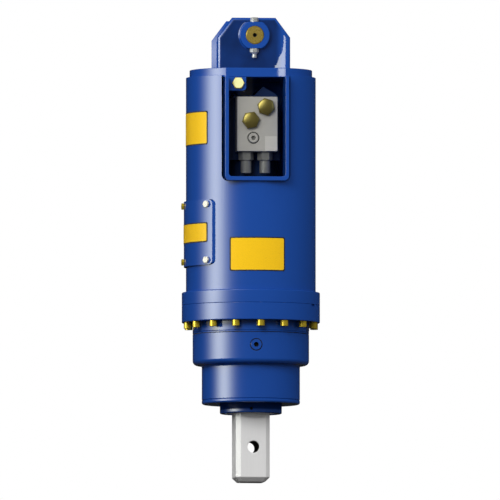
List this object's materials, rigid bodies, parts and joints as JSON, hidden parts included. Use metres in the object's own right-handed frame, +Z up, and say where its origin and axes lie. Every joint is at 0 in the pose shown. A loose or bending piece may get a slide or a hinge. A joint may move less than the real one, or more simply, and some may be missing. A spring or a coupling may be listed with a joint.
{
  "type": "earth auger drive",
  "caption": "Hanging hydraulic auger drive: tubular hood with hitch ears and cross pin, valve block in a hose window, planetary gearbox and square output shaft.",
  "frame": {"origin": "middle of the hanger pin, on the axis of the drive", "axes": "+Z up along the drive's axis, -Y towards the hose window in front, +X to the right of someone who faces the window"},
  "size_m": [0.3021, 0.3002, 1.0067],
  "materials": {
    "blue_paint": "gloss blue machine enamel",
    "motor_blue": "dull dark blue enamel",
    "zinc_yellow": "yellow passivated zinc plating",
    "zinc_silver": "clear zinc plating",
    "pin_steel": "turned, yellow passivated",
    "bright_steel": "bare machined steel",
    "cast_aluminium": "milled, dull",
    "plug_olive": "olive passivated zinc plating",
    "dark_steel": "dark plated steel",
    "gear_steel": "ground and oiled steel",
    "seal_rubber": "matt black"
  },
  "bodies": {
    "drive_unit": {"top_plate": "blue_paint", "front_ear": "blue_paint", "rear_ear": "blue_paint", "hanger_pin": "pin_steel", "pin_lock_bolt": "zinc_silver", "grease_nipple": "zinc_silver", "hood_tube": "blue_paint", "access_panel": "blue_paint", "panel_screw_1": "zinc_yellow", "panel_screw_2": "zinc_yellow", "panel_screw_3": "zinc_yellow", "panel_screw_4": "zinc_yellow", "panel_screw_5": "zinc_yellow", "panel_screw_6": "zinc_yellow", "window_frame": "blue_paint", "lug_bolt": "zinc_yellow", "hood_flange": "blue_paint", "gearbox_casing": "blue_paint", "flange_screw_01": "zinc_yellow", "flange_screw_02": "zinc_yellow", "flange_screw_03": "zinc_yellow", "flange_screw_04": "zinc_yellow", "flange_screw_05": "zinc_yellow", "flange_screw_06": "zinc_yellow", "flange_screw_07": "zinc_yellow", "flange_screw_08": "zinc_yellow", "flange_screw_09": "zinc_yellow", "flange_screw_10": "zinc_yellow", "flange_screw_11": "zinc_yellow", "flange_screw_12": "zinc_yellow", "flange_screw_13": "zinc_yellow", "flange_screw_14": "zinc_yellow", "flange_screw_15": "zinc_yellow", "flange_screw_16": "zinc_yellow", "bearing_housing": "blue_paint", "fill_plug": "blue_paint", "seal_cover": "blue_paint", "seal_ring": "seal_rubber", "lower_bearing_cup": "gear_steel", "upper_bearing_cup": "gear_steel", "motor_adapter": "dark_steel", "motor_body": "motor_blue", "valve_block": "cast_aluminium", "port_plug_a": "plug_olive", "port_plug_b": "plug_olive", "gauge_plug": "cast_aluminium", "relief_valve_a": "dark_steel", "relief_valve_b": "dark_steel"},
    "output": {"output_shaft": "bright_steel", "dust_collar": "blue_paint", "lower_bearing_cone": "gear_steel", "upper_bearing_cone": "gear_steel"},
    "intermediate": {"fast_carrier": "gear_steel"},
    "input": {"input_pinion": "gear_steel"},
    "slow_planet_1": {"slow_planet_gear_1": "gear_steel"},
    "slow_planet_2": {"slow_planet_gear_2": "gear_steel"},
    "slow_planet_3": {"slow_planet_gear_3": "gear_steel"},
    "fast_planet_1": {"fast_planet_gear_1": "gear_steel"},
    "fast_planet_2": {"fast_planet_gear_2": "gear_steel"},
    "fast_planet_3": {"fast_planet_gear_3": "gear_steel"}
  },
  "joints": [
    {"name": "output_spin", "type": "hinge", "parent": "drive_unit", "child": "output", "pos_m": [0, 0, -0.85], "axis": [0, 0, 1], "continuous": true},
    {"name": "intermediate_spin", "type": "hinge", "parent": "drive_unit", "child": "intermediate", "pos_m": [0, 0, -0.6], "axis": [0, 0, 1], "continuous": true},
    {"name": "input_spin", "type": "hinge", "parent": "drive_unit", "child": "input", "pos_m": [0, 0, -0.56], "axis": [0, 0, 1], "continuous": true},
    {"name": "slow_planet_1_spin", "type": "hinge", "parent": "output", "child": "slow_planet_1", "pos_m": [0.06075, 0, -0.622], "axis": [0, 0, 1], "continuous": true},
    {"name": "slow_planet_2_spin", "type": "hinge", "parent": "output", "child": "slow_planet_2", "pos_m": [-0.03037, 0.05261, -0.622], "axis": [0, 0, 1], "continuous": true},
    {"name": "slow_planet_3_spin", "type": "hinge", "parent": "output", "child": "slow_planet_3", "pos_m": [-0.03037, -0.05261, -0.622], "axis": [0, 0, 1], "continuous": true},
    {"name": "fast_planet_1_spin", "type": "hinge", "parent": "intermediate", "child": "fast_planet_1", "pos_m": [0.06075, 0, -0.58], "axis": [0, 0, 1], "continuous": true},
    {"name": "fast_planet_2_spin", "type": "hinge", "parent": "intermediate", "child": "fast_planet_2", "pos_m": [-0.03037, 0.05261, -0.58], "axis": [0, 0, 1], "continuous": true},
    {"name": "fast_planet_3_spin", "type": "hinge", "parent": "intermediate", "child": "fast_planet_3", "pos_m": [-0.03037, -0.05261, -0.58], "axis": [0, 0, 1], "continuous": true}
  ],
  "couplings": [
    {"joint": "intermediate_spin", "follows": "output_spin", "ratio": 4.5},
    {"joint": "input_spin", "follows": "output_spin", "ratio": 20.25},
    {"joint": "slow_planet_1_spin", "follows": "output_spin", "ratio": -2.8},
    {"joint": "slow_planet_2_spin", "follows": "output_spin", "ratio": -2.8},
    {"joint": "slow_planet_3_spin", "follows": "output_spin", "ratio": -2.8},
    {"joint": "fast_planet_1_spin", "follows": "output_spin", "ratio": -12.6},
    {"joint": "fast_planet_2_spin", "follows": "output_spin", "ratio": -12.6},
    {"joint": "fast_planet_3_spin", "follows": "output_spin", "ratio": -12.6}
  ]
}
